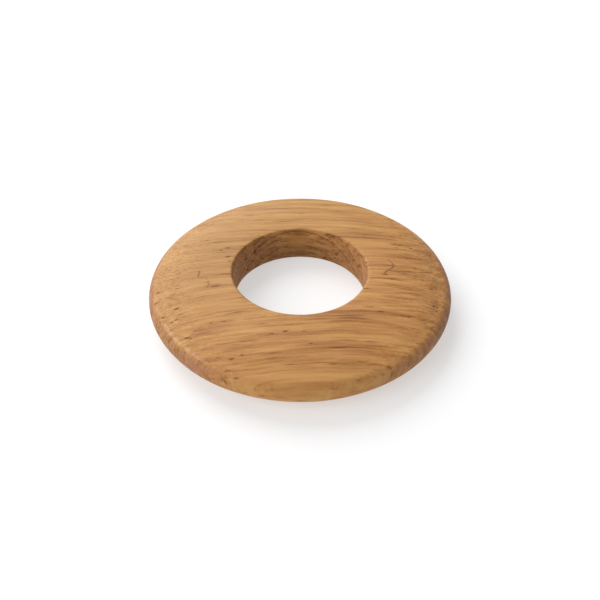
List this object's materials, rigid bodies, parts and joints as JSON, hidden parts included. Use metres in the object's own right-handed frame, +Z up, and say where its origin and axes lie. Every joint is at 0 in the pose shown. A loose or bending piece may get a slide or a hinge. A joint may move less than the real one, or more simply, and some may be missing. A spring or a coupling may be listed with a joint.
{
  "type": "teething ring",
  "caption": "Flat round wooden ring, domed on both faces with a softly rounded outer edge and a finger hole, for a baby to hold and chew.",
  "frame": {"origin": "the point on the ring's axis that lies in the plane of its lower face, on the surface that the ring lies on", "axes": "+Z up along the ring's axis, +X along the grain of the wood, +Y across the grain"},
  "size_m": [0.07, 0.07, 0.0088],
  "materials": {
    "oak": "solid oak, sanded smooth and oiled, satin, with fine open pores along the grain"
  },
  "bodies": {
    "root": {"ring": "oak"}
  },
  "joints": []
}
